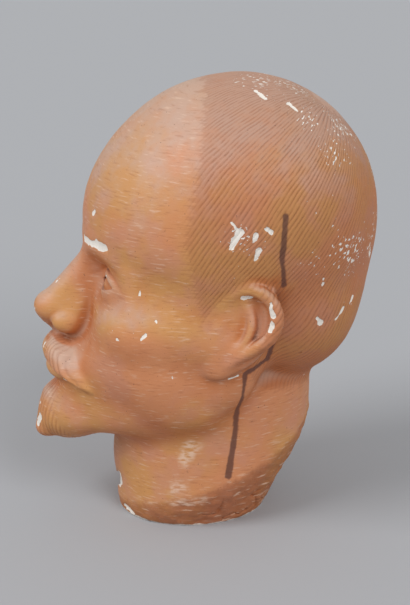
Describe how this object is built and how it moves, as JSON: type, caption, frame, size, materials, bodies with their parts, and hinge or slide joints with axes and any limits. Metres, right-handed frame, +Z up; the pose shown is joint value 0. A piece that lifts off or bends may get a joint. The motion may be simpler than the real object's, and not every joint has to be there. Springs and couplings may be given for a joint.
{
  "type": "sculpted male head",
  "caption": "Larger-than-life sculpted male head with cropped hair, moustache and short pointed beard, cast in plaster and painted terracotta, standing on a trimmed neck.",
  "frame": {"origin": "on the flat underside of the neck, in the head's middle plane, near the middle of the underside", "axes": "+Z up, the face looks along -Y, the head's own left is +X"},
  "size_m": [0.267, 0.3429, 0.4498],
  "materials": {
    "painted_plaster": "terracotta-coloured paint over white plaster, dusty and chipped, slightly satin"
  },
  "bodies": {
    "root": {"plaster_head": "painted_plaster"}
  },
  "joints": []
}
